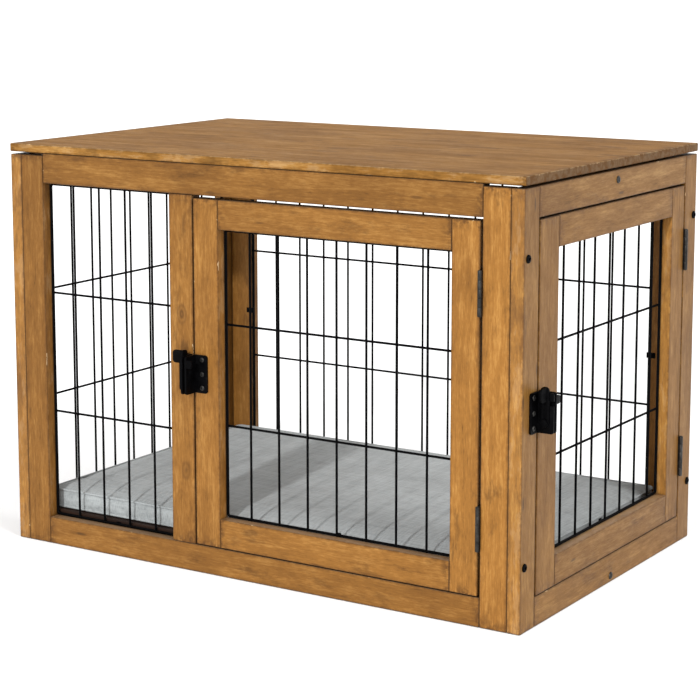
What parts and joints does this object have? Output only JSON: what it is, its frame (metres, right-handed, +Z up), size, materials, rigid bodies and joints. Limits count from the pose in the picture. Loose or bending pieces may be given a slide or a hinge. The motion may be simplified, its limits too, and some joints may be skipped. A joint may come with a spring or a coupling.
{
  "type": "wire dog crate",
  "caption": "Wooden framed pet crate with a flat table top, wire grid walls, a front door and an end door on hinges, lever latches and a floor cushion.",
  "frame": {"origin": "middle of the crate's footprint on the ground, on the underside of the floor support bar", "axes": "+X along the front to the right, towards the end door; +Y from the front door to the back; +Z up"},
  "size_m": [0.9419, 0.611, 0.64],
  "materials": {
    "front_pine": "satin brown stain",
    "side_pine": "satin brown stain",
    "top_pine": "satin brown stain",
    "floor_board": "dark brown board",
    "linen": "woven light grey",
    "black_wire": "black powder coat",
    "black_steel": "black powder coat",
    "hinge_steel": "darkened steel"
  },
  "bodies": {
    "cabinet": {"front_left_stile": "front_pine", "front_right_stile": "front_pine", "front_middle_stile": "front_pine", "front_bottom_rail": "front_pine", "front_top_rail": "front_pine", "back_left_stile": "front_pine", "back_right_stile": "front_pine", "back_bottom_rail": "front_pine", "back_top_rail": "front_pine", "right_side_front_stile": "side_pine", "right_side_rear_stile": "side_pine", "right_side_bottom_rail": "side_pine", "right_side_top_rail": "side_pine", "left_side_front_stile": "side_pine", "left_side_rear_stile": "side_pine", "left_side_bottom_rail": "side_pine", "left_side_top_rail": "side_pine", "top_support_bar": "side_pine", "floor_support_bar": "side_pine", "front_floor_cleat": "side_pine", "rear_floor_cleat": "side_pine", "top_board": "top_pine", "floor_board": "floor_board", "cushion": "linen", "front_fixed_grid": "black_wire", "left_side_grid": "black_wire", "back_grid": "black_wire", "front_upper_hinge_frame_leaf_and_pin": "hinge_steel", "front_lower_hinge_frame_leaf_and_pin": "hinge_steel", "side_upper_hinge_frame_leaf_and_pin": "hinge_steel", "side_lower_hinge_frame_leaf_and_pin": "hinge_steel", "front_latch_body": "black_steel", "side_latch_body": "black_steel", "right_front_lower_bolt": "black_steel", "right_front_upper_bolt": "black_steel", "right_rear_lower_bolt": "black_steel", "right_rear_upper_bolt": "black_steel", "left_front_lower_bolt": "black_steel", "left_front_upper_bolt": "black_steel", "left_rear_lower_bolt": "black_steel", "left_rear_upper_bolt": "black_steel"},
    "front_door": {"front_door_latch_stile": "front_pine", "front_door_hinge_stile": "front_pine", "front_door_bottom_rail": "front_pine", "front_door_top_rail": "front_pine", "front_door_grid": "black_wire", "front_upper_hinge_door_leaf": "hinge_steel", "front_lower_hinge_door_leaf": "hinge_steel", "front_latch_keeper": "black_steel"},
    "side_door": {"side_door_latch_stile": "side_pine", "side_door_hinge_stile": "side_pine", "side_door_bottom_rail": "side_pine", "side_door_top_rail": "side_pine", "side_door_grid": "black_wire", "side_upper_hinge_door_leaf": "hinge_steel", "side_lower_hinge_door_leaf": "hinge_steel", "side_latch_keeper": "black_steel"},
    "front_lever": {"front_latch_lever": "black_steel"},
    "side_lever": {"side_latch_lever": "black_steel"}
  },
  "joints": [
    {"name": "front_door_swing", "type": "hinge", "parent": "cabinet", "child": "front_door", "pos_m": [0.38965, -0.2955, 0.3], "axis": [0, 0, 1], "range_deg": [0, 180]},
    {"name": "side_door_swing", "type": "hinge", "parent": "cabinet", "child": "side_door", "pos_m": [0.4595, 0.247, 0.3], "axis": [0, 0, 1], "range_deg": [0, 180]},
    {"name": "front_latch_lift", "type": "hinge", "parent": "cabinet", "child": "front_lever", "pos_m": [-0.1008, -0.306, 0.296], "axis": [1, 0, 0], "range_deg": [0, 20], "stiffness_Nm_per_rad": 0.12, "springref_deg": -20.05},
    {"name": "side_latch_lift", "type": "hinge", "parent": "cabinet", "child": "side_lever", "pos_m": [0.47, -0.24675, 0.296], "axis": [0, 1, 0], "range_deg": [0, 20], "stiffness_Nm_per_rad": 0.12, "springref_deg": -20.05}
  ]
}
